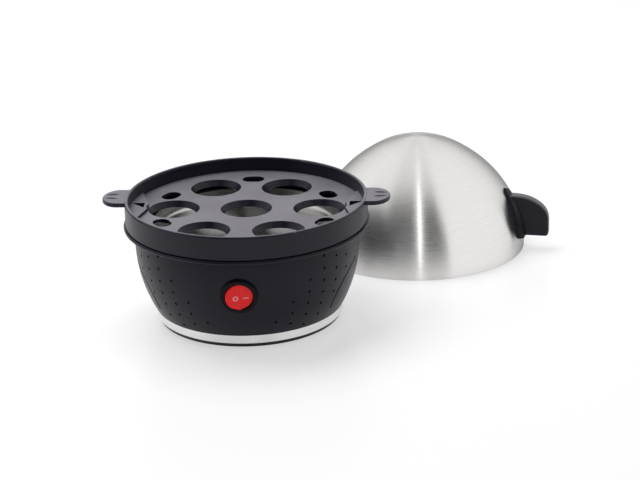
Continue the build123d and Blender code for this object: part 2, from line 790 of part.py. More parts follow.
# Terminal block on the bottom plate
pole_z = plate_top + BLOCK_H / 2
block_front = block_y - BLOCK_D / 2
block_screw_y = [block_y - BLOCK_D / 4, block_y + BLOCK_D / 4]
block_screw_spots = [(x, y) for x in pole_spots for y in block_screw_y]
with BuildPart() as terminal_block:
    with BuildSketch(Plane.XY.offset(plate_top)):
        with Locations((0, block_y)):
            Rectangle(BLOCK_W, BLOCK_D)
    extrude(amount=BLOCK_H)
    with BuildSketch(Plane.XY.offset(plate_top + BLOCK_H)):
        with Locations(*block_screw_spots):
            Circle(LEAD_R * 1.5)
    extrude(amount=-BLOCK_H / 4, mode=Mode.SUBTRACT)
    with BuildSketch(Plane.XZ.offset(-block_front)):
        with Locations(*[(x, pole_z) for x in pole_spots]):
            Circle(LEAD_R)
    extrude(amount=-LEAD_SEAT, mode=Mode.SUBTRACT)
    with BuildSketch(Plane.XZ.offset(-block_front - BLOCK_D)):
        with Locations(*[(x, pole_z) for x in pole_spots]):
            Circle(LEAD_R * 1.5)
    extrude(amount=LEAD_SEAT, mode=Mode.SUBTRACT)
terminal_block.part.label = "terminal_block"
export_step(terminal_block.part, "parts/terminal_block.step")

with BuildPart() as terminal_screws:
    with BuildSketch(Plane.XY.offset(plate_top + BLOCK_H * 3 / 4)):
        with Locations(*block_screw_spots):
            Circle(LEAD_R * 1.5)
    extrude(amount=BLOCK_H / 6)
terminal_screws.part.label = "terminal_screws"
export_step(terminal_screws.part, "parts/terminal_screws.step")


def lead(points):
    """One insulated lead: straight runs joined by tangent bends."""
    with BuildPart() as wire:
        with BuildLine() as route:
            FilletPolyline(*points, radius=LEAD_BEND)
        with BuildSketch(Plane(origin=route.line @ 0, z_dir=route.line % 0)):
            Circle(LEAD_R)
        sweep(path=route.line)
    return wire


def blade_tip(x):
    """Where a lead meets the end of a switch blade, and a point further in on the blade's line."""
    depth = SWITCH_D + BLADE_L
    tip = switch_face.from_local_coords((x, 0, -depth))
    inner = switch_face.from_local_coords((x, 0, -depth - LEAD_RUN))
    return tip, inner


seat_y = block_front + LEAD_SEAT
side_x = STRAP_END_X + LEAD_R
left_end, right_end = element_ends

# Line lead, from the block to the switch's middle blade
tip, inner = blade_tip(0)
lead_line = lead(
    [
        tip,
        inner,
        (0, inner.Y, pole_z),
        (-POLE_PITCH, inner.Y + 3 * LEAD_BEND, pole_z),
        (-POLE_PITCH, seat_y, pole_z),
    ]
)
lead_line.part.label = "lead_line"
export_step(lead_line.part, "parts/lead_line.step")

# Switched lead, from the switch to the thermostat
tip, inner = blade_tip(BLADE_PITCH)
lead_switched = lead(
    [
        tip,
        inner,
        (BLADE_PITCH, inner.Y, lead_low),
        (side_x, inner.Y + 4 * LEAD_BEND, lead_low),
        (side_x, 0, lead_low),
        (side_x, 0, blade_z),
        (blade_end, 0, blade_z),
    ]
)
lead_switched.part.label = "lead_switched"
export_step(lead_switched.part, "parts/lead_switched.step")

# Thermostat lead, on to one end of the element
lead_thermostat = lead(
    [
        (-blade_end, 0, blade_z),
        (-side_x, 0, blade_z),
        (-side_x, 0, lead_low - 2 * LEAD_R),
        (left_end.X, left_end.Y, lead_low - 2 * LEAD_R),
        left_end,
    ]
)
lead_thermostat.part.label = "lead_thermostat"
export_step(lead_thermostat.part, "parts/lead_thermostat.step")

# Neutral leads, from the element's other end through the thermal fuse to the block
fuse_z = lead_low - 2 * LEAD_R
fuse_start = right_end.Y - LEAD_BEND - FUSE_RUN
lead_fuse = lead(
    [
        right_end,
        (right_end.X, right_end.Y, fuse_z),
        (right_end.X, fuse_start, fuse_z),
    ]
)
lead_fuse.part.label = "lead_fuse"
export_step(lead_fuse.part, "parts/lead_fuse.step")

with BuildPart() as thermal_fuse:
    with BuildSketch(Plane.XZ.offset(-fuse_start)):
        with Locations((right_end.X, fuse_z)):
            Circle(FUSE_R)
    extrude(amount=FUSE_L)
thermal_fuse.part.label = "thermal_fuse"
export_step(thermal_fuse.part, "parts/thermal_fuse.step")

fuse_end = fuse_start - FUSE_L
lead_neutral = lead(
    [
        (right_end.X, fuse_end, fuse_z),
        (right_end.X, fuse_end - 2 * LEAD_BEND, fuse_z),
        (POLE_PITCH, fuse_end - 2 * LEAD_BEND, pole_z),
        (POLE_PITCH, seat_y, pole_z),
    ]
)
lead_neutral.part.label = "lead_neutral"
export_step(lead_neutral.part, "parts/lead_neutral.step")

# Earth lead, from the block up to the tag
lead_earth = lead(
    [
        (0, seat_y, pole_z),
        (0, tag_lead_y, pole_z),
        (0, tag_lead_y, spreader_low - TAG_T),
    ]
)
lead_earth.part.label = "lead_earth"
export_step(lead_earth.part, "parts/lead_earth.step")

# Ears of the tray: two plates with soft edges, flush with the rim and trimmed to meet its band
ear_top = RIM_Z - EAR_DROP
ear_straight = ear_tip_r - EAR_ROUND
ear_root = TRAY_R - RIM_T / 2
ear_start = ear_root - EAR_HALF_W / 2
with BuildPart() as ears:
    with BuildSketch(Plane.XY.offset(ear_top)):
        for side in (-1, 1):
            with Locations((side * (ear_start + ear_straight) / 2, 0)):
                Rectangle(ear_straight - ear_start, 2 * EAR_HALF_W)
            with Locations((side * ear_straight, 0)):
                Ellipse(EAR_ROUND, EAR_HALF_W)
    extrude(amount=-EAR_T)
    fillet(ears.edges().filter_by(Axis.Z, reverse=True), EAR_EDGE)
    with BuildSketch(Plane.XY.offset(ear_top)):
        Circle(ear_root)
    extrude(amount=-EAR_T, mode=Mode.SUBTRACT)

# Egg tray: band and rim, floor, dished seats, ear ledges, wedge slots, steam holes and fluted ears
with BuildPart() as egg_tray:
    with BuildSketch(Plane.XZ):
        with BuildLine():
            rim_half = RIM_T / 2
            Polyline(
                (tray_in_r, RIM_Z - rim_half),
                (tray_in_r, floor_z),
                (0, floor_z),
                (0, floor_low),
                (tray_in_r, floor_low),
                (tray_in_r, band_low),
                (TRAY_R, band_low),
                (TRAY_R, RIM_Z - rim_half),
            )
            ThreePointArc(
                (TRAY_R, RIM_Z - rim_half),
                (TRAY_R - rim_half, RIM_Z),
                (tray_in_r, RIM_Z - rim_half),
            )
        make_face()
    revolve(axis=Axis.Z)
    # Raised ledge beside each ear, with a bluntly pointed inner edge
    with BuildSketch(Plane.XY.offset(floor_z)):
        ledge_end = ledge_chord + TRAY_R * tan(radians(LEDGE_SLANT))
        for side in (-1, 1):
            with BuildLine():
                Polyline(
                    (side * ledge_chord, 0),
                    (side * ledge_end, TRAY_R),
                    (side * 2 * TRAY_R, TRAY_R),
                    (side * 2 * TRAY_R, -TRAY_R),
                    (side * ledge_end, -TRAY_R),
                    close=True,
                )
            make_face()
        Circle(TRAY_R - RIM_T / 2, mode=Mode.INTERSECT)
    extrude(amount=LEDGE_H)
    add(ears.part)
    # Two finger flutes on each ear: spindle-shaped scoops that draw together at the tip
    flute_z = ear_top + FLUTE_R - FLUTE_D
    for side in (-1, 1):
        for step in (-1, 1):
            inner = Vector(side * (TRAY_R + FLUTE_MARGIN), step * FLUTE_IN_Y, flute_z)
            tip = Vector(side * (ear_tip_r + FLUTE_MARGIN), step * FLUTE_TIP_Y, flute_z)
            run = tip - inner
            with BuildSketch(Plane(origin=inner, x_dir=run, z_dir=Vector(0, 0, 1).cross(run))):
                with BuildLine():
                    Line((0, 0), (run.length, 0))
                    ThreePointArc((0, 0), (run.length / 2, FLUTE_R), (run.length, 0))
                make_face()
            revolve(axis=Axis(inner, run), mode=Mode.SUBTRACT)
    # Seat collars, then the dishes through them
    seat_slope = (SEAT_TOP_R - SEAT_LOW_R) / SEAT_D
    with Locations(*[(x, y, floor_z - SEAT_D) for x, y in seat_spots]):
        Cone(
            SEAT_LOW_R + FLOOR_T,
            SEAT_LOW_R + FLOOR_T + seat_slope * (SEAT_D - FLOOR_T / 2),
            SEAT_D - FLOOR_T / 2,
            align=(Align.CENTER, Align.CENTER, Align.MIN),
        )
    with Locations(*[(x, y, floor_z - SEAT_D) for x, y in seat_spots]):
        Cone(
            SEAT_LOW_R,
            SEAT_TOP_R + seat_slope * LEDGE_H,
            SEAT_D + LEDGE_H,
            align=(Align.CENTER, Align.CENTER, Align.MIN),
            mode=Mode.SUBTRACT,
        )
    # Wedge slot in each ledge, narrow end at the wall
    slot_in = ledge_chord + SEAT_D
    slot_out = tray_in_r - SLOT_MARGIN
    with BuildSketch(Plane.XY.offset(floor_z + LEDGE_H)):
        for side in (-1, 1):
            with BuildLine():
                Polyline(
                    (side * slot_in, -LEDGE_H),
                    (side * slot_in, EAR_HALF_W / 2),
                    (side * slot_out, EAR_HALF_W / 2),
                    close=True,
                )
            make_face()
    extrude(amount=-LEDGE_H - FLOOR_T, mode=Mode.SUBTRACT)
    # Oval steam holes between the outer seats, long way round the rim
    steam_turns = [90, 270]
    for middle in (0, 180):
        steam_turns += [middle - STEAM_ANGLE, middle + STEAM_ANGLE]
    with BuildSketch(Plane.XY.offset(floor_z)):
        for turn in steam_turns:
            with PolarLocations(steam_pitch_r, 1, start_angle=turn):
                SlotOverall(STEAM_HOLE_L, STEAM_HOLE_W, rotation=90)
    extrude(amount=-FLOOR_T, mode=Mode.SUBTRACT)
egg_tray.part.label = "egg_tray"
export_step(egg_tray.part, "parts/egg_tray.step")

# Planes of the lid: its section through the handle, and the plane the handle faces
lid_centre = Vector(LID_X, LID_Y, 0)
handle_out = Vector(cos(radians(HANDLE_ANGLE)), sin(radians(HANDLE_ANGLE)), 0)
handle_across = Vector(-handle_out.Y, handle_out.X, 0)
lid_section = Plane(origin=lid_centre, x_dir=handle_out, z_dir=-handle_across)
handle_face = Plane(origin=lid_centre, x_dir=handle_across, z_dir=handle_out)
lid_axis = Axis(lid_centre, (0, 0, 1))


def dome_point(turn, off):
    """Point of the dome's profile, moved out along its normal; turn is 0 at the hem and 90 at the top."""
    if turn >= 90:
        return 0, LID_H + off
    u = radians(turn)
    slope_r = LID_R * LID_POINT * cos(u) ** (LID_POINT - 1) * sin(u)
    slope_z = LID_H * cos(u)
    size = hypot(slope_r, slope_z)
    return (
        LID_R * cos(u) ** LID_POINT + off * slope_z / size,
        LID_H * sin(u) + off * slope_r / size,
    )


def dome_curve(off):
    """Profile of the dome from hem to top, for use inside a line builder."""
    points = [dome_point(turn, off) for turn in DOME_TURNS]
    return Spline(*points, tangents=[(0, 1), (-1, 0)])


def dome_layer(inside, outside):
    """Edges of the closed profile between two offsets of the dome."""
    with BuildLine() as loop:
        outer = dome_curve(outside)
        inner = dome_curve(inside)
        Line(outer @ 0, inner @ 0)
        Line(outer @ 1, inner @ 1)
    return loop.edges()


def guard_outline(share=1.0):
    """Edges of the guard's leaf outline, shrunk about its middle by a share."""
    middle = (GUARD_LOW + GUARD_TOP) / 2
    low = middle + (GUARD_LOW - middle) * share
    top = middle + (GUARD_TOP - middle) * share
    foot = GUARD_FOOT_W * share
    wide = (GUARD_HALF_W * share, low + (top - low) * GUARD_WIDE_SHARE)
    with BuildLine() as loop:
        Line((-foot, low), (foot, low))
        ThreePointArc((foot, low), wide, (0, top))
        ThreePointArc((0, top), (-wide[0], wide[1]), (-foot, low))
    return loop.edges()


def normal_plane(turn, off):
    """Plane across the dome's normal in the handle's section."""
    r, z = dome_point(turn, off)
    far_r, far_z = dome_point(turn, off + 1)
    origin = lid_section.from_local_coords((r, z, 0))
    ahead = lid_section.from_local_coords((far_r, far_z, 0))
    return Plane(origin=origin, x_dir=handle_across, z_dir=ahead - origin)


back_in = -LID_T - BACK_T
head_seat = back_in + HEAD_SINK
screw_reach = LID_T + BACK_T + PAD_T + GUARD_T + LID_SCREW_BITE

# Spun steel dome with a folded hem
with BuildPart() as lid_shell:
    with BuildSketch(lid_section):
        make_face(dome_layer(-LID_T, 0))
    revolve(axis=lid_axis)
    with BuildSketch(Plane.XY.offset(0)):
        with Locations((LID_X, LID_Y)):
            Circle(LID_R - LID_T / 2)
            Circle(LID_R - 2 * LID_T, mode=Mode.SUBTRACT)
    extrude(amount=HEM_H)
    for turn in LID_SCREW_TURNS:
        with BuildSketch(normal_plane(turn, head_seat)):
            Circle(SCREW_R)
        extrude(amount=screw_reach, mode=Mode.SUBTRACT)
lid_shell.part.label = "lid_shell"
export_step(lid_shell.part, "parts/lid_shell.step")

# Soft pad between the dome and the handle
with BuildPart() as handle_pad:
    with BuildSketch(lid_section):
        make_face(dome_layer(0, PAD_T))
    revolve(axis=lid_axis)
    with BuildSketch(handle_face):
        make_face(guard_outline())
    extrude(amount=2 * LID_R, mode=Mode.INTERSECT)
    for turn in LID_SCREW_TURNS:
        with BuildSketch(normal_plane(turn, head_seat)):
            Circle(SCREW_R)
        extrude(amount=screw_reach, mode=Mode.SUBTRACT)
handle_pad.part.label = "handle_pad"
export_step(handle_pad.part, "parts/handle_pad.step")

# Leaf-shaped guard of the handle, which hugs the dome
with BuildPart() as guard:
    with BuildSketch(lid_section):
        make_face(dome_layer(PAD_T, PAD_T + GUARD_T))
    revolve(axis=lid_axis)
    with BuildSketch(handle_face):
        make_face(guard_outline())
    extrude(amount=2 * LID_R, mode=Mode.INTERSECT)
    fillet(guard.faces().sort_by(Axis(lid_centre, handle_out))[-1].edges(), min(GUARD_EDGE, 0.4 * GUARD_T))

# Handle: D-shaped grip that stands out from the guard, in one moulding with it
with BuildPart() as lid_handle:
    grip_turn = degrees(asin(GRIP_TOP / LID_H))
    crown = dome_point(grip_turn, PAD_T + GUARD_T)[0]
    grip_in = crown - 2 * GUARD_T
    toe_cut = GRIP_TOE_R * (1 - sqrt(0.5))
    nose = (grip_reach, GRIP_NOSE_Z)
    shoulder = (grip_reach - GRIP_SHOULDER_IN, GRIP_TOP - GRIP_SHOULDER_DROP)
    with BuildSketch(lid_section):
        with BuildLine():
            Polyline(
                (crown, GRIP_TOP),
                (grip_in, GRIP_TOP),
                (grip_in, GRIP_LOW),
                (grip_reach - GRIP_TOE_R, GRIP_LOW),
            )
            ThreePointArc(
                (grip_reach - GRIP_TOE_R, GRIP_LOW),
                (grip_reach - toe_cut, GRIP_LOW + toe_cut),
                (grip_reach, GRIP_LOW + GRIP_TOE_R),
            )
            Line((grip_reach, GRIP_LOW + GRIP_TOE_R), nose)
            Spline(nose, shoulder, (crown, GRIP_TOP), tangents=[(0, 1), (-1, 0)])
        make_face()
    extrude(amount=GRIP_T / 2, both=True)
    fillet(lid_handle.faces().filter_by(Axis((0, 0, 0), handle_across)).edges(), GRIP_EDGE)
    with BuildSketch(lid_section):
        with BuildLine():
            inner = dome_curve(PAD_T + GUARD_T / 2)
            Polyline(inner @ 1, (0, 0), inner @ 0)
        make_face()
    revolve(axis=lid_axis, mode=Mode.SUBTRACT)
    add(guard.part)
    for turn in LID_SCREW_TURNS:
        with BuildSketch(normal_plane(turn, head_seat)):
            Circle(SCREW_R)
        extrude(amount=screw_reach, mode=Mode.SUBTRACT)
lid_handle.part.label = "lid_handle"
export_step(lid_handle.part, "parts/lid_handle.step")

# Backing plate inside the dome
with BuildPart() as handle_backing:
    with BuildSketch(lid_section):
        make_face(dome_layer(back_in, -LID_T - BACK_FIT))
    revolve(axis=lid_axis)
    with BuildSketch(handle_face):
        make_face(guard_outline(BACK_SHARE))
    extrude(amount=2 * LID_R, mode=Mode.INTERSECT)
    for turn in LID_SCREW_TURNS:
        with BuildSketch(normal_plane(turn, head_seat)):
            Circle(SCREW_R)
        extrude(amount=screw_reach, mode=Mode.SUBTRACT)
        with BuildSketch(normal_plane(turn, head_seat)):
            Circle(STRAP_HEAD_R)
        extrude(amount=-STRAP_HEAD_H, mode=Mode.SUBTRACT)
handle_backing.part.label = "handle_backing"
export_step(handle_backing.part, "parts/handle_backing.step")

# Screws through the backing plate into the handle
with BuildPart() as handle_screws:
    for turn in LID_SCREW_TURNS:
        with BuildSketch(normal_plane(turn, head_seat)):
            Circle(STRAP_HEAD_R)
        extrude(amount=-STRAP_HEAD_H)
        with BuildSketch(normal_plane(turn, head_seat)):
            Circle(SCREW_R)
        extrude(amount=screw_reach)
handle_screws.part.label = "handle_screws"
export_step(handle_screws.part, "parts/handle_screws.step")
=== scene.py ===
"""Looks of the electric egg cooker: materials, switch marks, camera, floor and light."""

from math import cos, pi, radians, sin

import bmesh
import bpy
from mathutils import Matrix, Vector


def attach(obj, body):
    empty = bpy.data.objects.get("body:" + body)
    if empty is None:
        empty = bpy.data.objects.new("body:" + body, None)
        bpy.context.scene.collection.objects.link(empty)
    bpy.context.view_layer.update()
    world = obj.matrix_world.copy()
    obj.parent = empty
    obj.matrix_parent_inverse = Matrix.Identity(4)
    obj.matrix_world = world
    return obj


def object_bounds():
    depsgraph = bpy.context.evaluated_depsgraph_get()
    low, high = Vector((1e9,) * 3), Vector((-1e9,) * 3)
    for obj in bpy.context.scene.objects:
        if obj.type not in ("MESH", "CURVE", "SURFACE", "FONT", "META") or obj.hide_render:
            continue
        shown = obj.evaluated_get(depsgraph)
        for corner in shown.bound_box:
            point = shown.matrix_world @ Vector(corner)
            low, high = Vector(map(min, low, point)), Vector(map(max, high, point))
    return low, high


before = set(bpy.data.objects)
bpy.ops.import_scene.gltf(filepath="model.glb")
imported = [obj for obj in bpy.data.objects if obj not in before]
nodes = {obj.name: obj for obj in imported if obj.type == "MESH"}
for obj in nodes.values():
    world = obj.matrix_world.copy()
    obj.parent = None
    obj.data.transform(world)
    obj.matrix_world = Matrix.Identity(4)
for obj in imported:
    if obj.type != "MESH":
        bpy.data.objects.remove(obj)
cad_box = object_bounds()
scene = bpy.context.scene

# Camera, from the fit of the photograph
CAMERA_PLACE = (0.124715, -1.300219, 0.543863)
CAMERA_AZIMUTH = 3.378
CAMERA_ELEVATION = 20.66
CAMERA_ROLL = -1.672
CAMERA_LENS = 118.27
CAMERA_SENSOR = 36.0

# Axes that the steel is brushed round: the base's, and the lid's as it stands beside the base
BASE_AXIS = (0.0, 0.0)
LID_AXIS = (0.1118, 0.1345)

# Switch: centre of the face, and its outward and upward directions
SWITCH_CENTRE = Vector((0.0, -0.0735513, 0.042491))
SWITCH_OUT = Vector((0.0, -0.98918, -0.146705))
SWITCH_UP = Vector((0.0, -0.146705, 0.98918))

# Rocker: half its breadth, height of its ends, depth of its dished face, and its tilt when on
ROCKER_R = 0.009
ROCKER_RISE = 0.0014
ROCKER_DISH = 0.0006
ROCKER_TILT = -11.0

# Switch marks: lift over the face and thickness, then place and size of the ring and the bar
MARK_LIFT = 0.00005
MARK_THICKNESS = 0.00004
RING_PLACE = (-0.00245, -0.0006)
RING_OUTER_R = 0.0018
RING_INNER_R = 0.00095
RING_POINTS = 48
BAR_PLACE = (0.0042, -0.0008)
BAR_HALF_X = 0.0018
BAR_HALF_Y = 0.0004

# Noise: the part of its range that patterns are drawn from
NOISE_LOW = 0.3
NOISE_HIGH = 0.7

# Plastic: scales of the mottling and the grain, depth of the grain, and swing of the gloss
MOTTLE_SCALE = 60.0
GRAIN_SCALE = 2600.0
GRAIN_DEPTH = 0.0002
PLASTIC_SWING = 0.03

# Painted top light: scale of the patches of the lighter colour painted on upward faces, and how
# far they differ
TOP_LIGHT_SCALE = 35.0
TOP_LIGHT_MOTTLE = 0.15

# Plain metal: scale and strength of its clouds, and swing of the gloss
METAL_SCALE = 220.0
METAL_MOTTLE = 0.08
METAL_SWING = 0.05

# Brushed metal: swing of the gloss, strength and depth of the lines, and turn of the highlight
BRUSHED_SWING = 0.06
BRUSHED_BUMP = 0.06
BRUSHED_DEPTH = 0.0001
BRUSHED_TURN = 0.25

# Floor: size, tones and their scale, surface, and the share of white that is mixed in where seen
FLOOR_SIZE = 12.0
FLOOR_DARK = (0.91, 0.91, 0.91)
FLOOR_LIGHT = (0.93, 0.93, 0.93)
FLOOR_SCALE = 2.0
FLOOR_GLOSS = 0.3
FLOOR_SPECULAR = 0.5
FLOOR_LIFT = 0.57

# World: the light it gives, and the white that is seen of it
SKY_COLOUR = (0.93, 0.89, 1.0, 1.0)
SKY_STRENGTH = 0.32
SEEN_COLOUR = (1.0, 1.0, 1.0, 1.0)
SEEN_STRENGTH = 1.0

# Dark card that stands far in front of the set, on the floor
CARD_CENTRE = (-0.764, -3.442, 3.8)
CARD_WIDTH = 6.27
CARD_HEIGHT = 7.6


# Node helpers
def new_material(name):
    material = bpy.data.materials.new(name)
    material.use_nodes = True
    tree = material.node_tree
    shader = tree.nodes["Principled BSDF"]
    return material, tree, shader


def add_node(tree, kind, **settings):
    node = tree.nodes.new(kind)
    for key, value in settings.items():
        setattr(node, key, value)
    return node


def maths(tree, operation, first, second):
    node = add_node(tree, "ShaderNodeMath", operation=operation)
    for socket, value in zip(node.inputs, (first, second)):
        if isinstance(value, float):
            socket.default_value = value
        else:
            tree.links.new(value, socket)
    return node.outputs["Value"]


def vector_maths(tree, operation, vector, values):
    node = add_node(tree, "ShaderNodeVectorMath", operation=operation)
    tree.links.new(vector, node.inputs[0])
    node.inputs[1].default_value = values
    return node.outputs["Vector"]


def noise(tree, vector, scale, detail=3.0, roughness=0.55):
    node = add_node(tree, "ShaderNodeTexNoise")
    node.inputs["Scale"].default_value = scale
    node.inputs["Detail"].default_value = detail
    node.inputs["Roughness"].default_value = roughness
    tree.links.new(vector, node.inputs["Vector"])
    return node.outputs["Fac"]


def ramp(tree, factor, low, high):
    node = add_node(tree, "ShaderNodeValToRGB")
    first, last = node.color_ramp.elements
    first.position = NOISE_LOW
    last.position = NOISE_HIGH
    first.color = (*low, 1.0)
    last.color = (*high, 1.0)
    tree.links.new(factor, node.inputs["Fac"])
    return node.outputs["Color"]


def spread(tree, factor, low, high, start=NOISE_LOW, end=NOISE_HIGH):
    node = add_node(tree, "ShaderNodeMapRange")
    node.inputs["From Min"].default_value = start
    node.inputs["From Max"].default_value = end
    node.inputs["To Min"].default_value = low
    node.inputs["To Max"].default_value = high
    tree.links.new(factor, node.inputs["Value"])
    return node.outputs["Result"]


def bump(tree, shader, height, strength, distance):
    node = add_node(tree, "ShaderNodeBump")
    node.inputs["Strength"].default_value = strength
    node.inputs["Distance"].default_value = distance
    tree.links.new(height, node.inputs["Height"])
    tree.links.new(node.outputs["Normal"], shader.inputs["Normal"])


def place(tree):
    return add_node(tree, "ShaderNodeTexCoord").outputs["Object"]


def mix_shaders(tree, share, first, second, output):
    blend = add_node(tree, "ShaderNodeMixShader")
    for socket, source in zip(blend.inputs, (share, first, second)):
        tree.links.new(source, socket)
    tree.links.new(blend.outputs["Shader"], output.inputs["Surface"])


# A colour made darker and lighter by the same share
def tones(colour, share):
    dark = tuple(c * (1 - share) for c in colour)
    light = tuple(min(1.0, c * (1 + share)) for c in colour)
    return dark, light


# Colour and gloss that vary together over one pattern
def uneven(tree, shader, pattern, colour, mottle, gloss, swing):
    tinted = ramp(tree, pattern, *tones(colour, mottle))
    rough = spread(tree, pattern, gloss - swing, gloss + swing)
    tree.links.new(tinted, shader.inputs["Base Color"])
    tree.links.new(rough, shader.inputs["Roughness"])


# Moulded plastic: faint mottling, uneven gloss and a fine spark-eroded grain
def plastic(name, colour, gloss, grain=0.05, specular=0.4, mottle=0.18):
    material, tree, shader = new_material(name)
    coords = place(tree)
    uneven(tree, shader, noise(tree, coords, MOTTLE_SCALE), colour, mottle, gloss, PLASTIC_SWING)
    shader.inputs["Specular IOR Level"].default_value = specular
    bump(tree, shader, noise(tree, coords, GRAIN_SCALE, detail=2.0), grain, GRAIN_DEPTH)
    return material


# Painted light: the faces of a plastic piece that look up, from those by start to those by end,
# are painted a lighter grey that stands in for the light they catch
def paint_top_light(material, top_light_colour, start, end):
    tree = material.node_tree
    shader = tree.nodes["Principled BSDF"]
    unlit_colour = shader.inputs["Base Color"].links[0].from_socket
    split = add_node(tree, "ShaderNodeSeparateXYZ")
    normal = add_node(tree, "ShaderNodeTexCoord").outputs["Normal"]
    tree.links.new(normal, split.inputs["Vector"])
    upward = spread(tree, split.outputs["Z"], 0.0, 1.0, start, end)
    grey = ramp(tree, noise(tree, place(tree), TOP_LIGHT_SCALE), *tones(top_light_colour, TOP_LIGHT_MOTTLE))
    layer = add_node(tree, "ShaderNodeMix", data_type="RGBA")
    tree.links.new(upward, layer.inputs["Factor"])
    tree.links.new(unlit_colour, layer.inputs["A"])
    tree.links.new(grey, layer.inputs["B"])
    tree.links.new(layer.outputs["Result"], shader.inputs["Base Color"])


# Metal with a plain rolled, plated or cast surface
def metal(name, colour, gloss):
    material, tree, shader = new_material(name)
    clouds = noise(tree, place(tree), METAL_SCALE)
    uneven(tree, shader, clouds, colour, METAL_MOTTLE, gloss, METAL_SWING)
    shader.inputs["Metallic"].default_value = 1.0
    return material


# Steel brushed round an upright axis: the lines follow the turn and change with height and reach
def brushed(name, axis, colour, gloss, lines, length, streak, stretch, edge=(1.0, 1.0, 1.0)):
    material, tree, shader = new_material(name)
    from_axis = vector_maths(tree, "SUBTRACT", place(tree), (*axis, 0.0))
    split = add_node(tree, "ShaderNodeSeparateXYZ")
    tree.links.new(from_axis, split.inputs["Vector"])
    turn = maths(tree, "ARCTAN2", split.outputs["Y"], split.outputs["X"])
    reach = add_node(tree, "ShaderNodeVectorMath", operation="LENGTH")
    tree.links.new(vector_maths(tree, "MULTIPLY", from_axis, (1.0, 1.0, 0.0)), reach.inputs[0])
    across = maths(tree, "SUBTRACT", split.outputs["Z"], reach.outputs["Value"])
    joined = add_node(tree, "ShaderNodeCombineXYZ")
    tree.links.new(maths(tree, "MULTIPLY", turn, length), joined.inputs["X"])
    tree.links.new(maths(tree, "MULTIPLY", across, lines), joined.inputs["Y"])
    scratches = noise(tree, joined.outputs["Vector"], 1.0, detail=4.0, roughness=0.7)
    uneven(tree, shader, scratches, colour, streak, gloss, BRUSHED_SWING)
    shader.inputs["Metallic"].default_value = 1.0
    shader.inputs["Anisotropic"].default_value = stretch
    shader.inputs["Anisotropic Rotation"].default_value = BRUSHED_TURN
    shader.inputs["Specular Tint"].default_value = (*edge, 1.0)
    tangent = add_node(tree, "ShaderNodeTangent", direction_type="RADIAL", axis="Z")
    tree.links.new(tangent.outputs["Tangent"], shader.inputs["Tangent"])
    bump(tree, shader, scratches, BRUSHED_BUMP, BRUSHED_DEPTH)
    return material


# Soft rubber and silicone
def rubber(name, colour):
    return plastic(name, colour, 0.72, grain=0.12, specular=0.25)


# Glossy red moulding that lets a little light in
def lens_red(name):
    material = plastic(name, (0.90, 0.010, 0.011), 0.24, grain=0.0, specular=0.25, mottle=0.1)
    shader = material.node_tree.nodes["Principled BSDF"]
    shader.inputs["Subsurface Weight"].default_value = 0.25
    shader.inputs["Subsurface Radius"].default_value = (0.004, 0.0006, 0.0006)
    shader.inputs["Subsurface Scale"].default_value = 1.0
    return material


# Plastics, ceramic and rubber
charcoal = plastic("charcoal_plastic", (0.0032, 0.0028, 0.0105), 0.36, specular=0.22)
tray_charcoal = plastic("tray_plastic", (0.0040, 0.0036, 0.0115), 0.38, specular=0.30)
# Painted light: the tray's upward faces, such as the ears and ledges, are painted a lighter grey
# for the light they catch
paint_top_light(tray_charcoal, (0.130, 0.124, 0.142), start=0.75, end=1.0)
black = plastic("black_plastic", (0.0060, 0.0060, 0.0085), 0.38, specular=0.25)
handle_black = plastic("handle_plastic", (0.0062, 0.0060, 0.0120), 0.38, specular=0.25)
# Painted light: the handle's upward faces are painted a lighter grey for the light they catch
paint_top_light(handle_black, (0.080, 0.080, 0.090), start=0.15, end=0.6)
switch_black = plastic("switch_plastic", (0.0030, 0.0030, 0.0034), 0.42, specular=0.12)
ceramic = plastic("ceramic", (0.72, 0.68, 0.60), 0.55, mottle=0.05)
nylon = plastic("clear_nylon", (0.55, 0.54, 0.50), 0.45, mottle=0.06)
foot_rubber = rubber("foot_rubber", (0.014, 0.014, 0.015))
seal_silicone = rubber("seal_silicone", (0.30, 0.045, 0.030))
red = lens_red("rocker_red")

# Metals
lid_steel = brushed(
    "lid_brushed_steel",
    LID_AXIS,
    (0.83, 0.82, 0.805),
    0.30,
    lines=5200.0,
    length=3.0,
    streak=0.12,
    stretch=0.95,
    edge=(0.28, 0.28, 0.28),
)
band_steel = brushed(
    "band_brushed_steel",
    BASE_AXIS,
    (0.82, 0.815, 0.81),
    0.34,
    lines=5200.0,
    length=3.0,
    streak=0.12,
    stretch=0.6,
)
pan_steel = brushed(
    "pan_satin_steel",
    BASE_AXIS,
    (0.58, 0.575, 0.56),
    0.30,
    lines=2600.0,
    length=2.0,
    streak=0.08,
    stretch=0.4,
)
zinc = metal("zinc_plated", (0.60, 0.61, 0.62), 0.32)
brass = metal("brass", (0.70, 0.52, 0.24), 0.30)
aluminium = metal("cast_aluminium", (0.66, 0.66, 0.67), 0.48)
oxide_steel = metal("element_sheath", (0.20, 0.20, 0.19), 0.45)

# Sleeves of the leads
line_sleeve = plastic("lead_brown", (0.13, 0.050, 0.022), 0.45)
neutral_sleeve = plastic("lead_blue", (0.020, 0.070, 0.30), 0.45)
earth_sleeve = plastic("lead_green_yellow", (0.16, 0.30, 0.030), 0.45)
white_sleeve = plastic("lead_white", (0.62, 0.60, 0.56), 0.50, mottle=0.06)

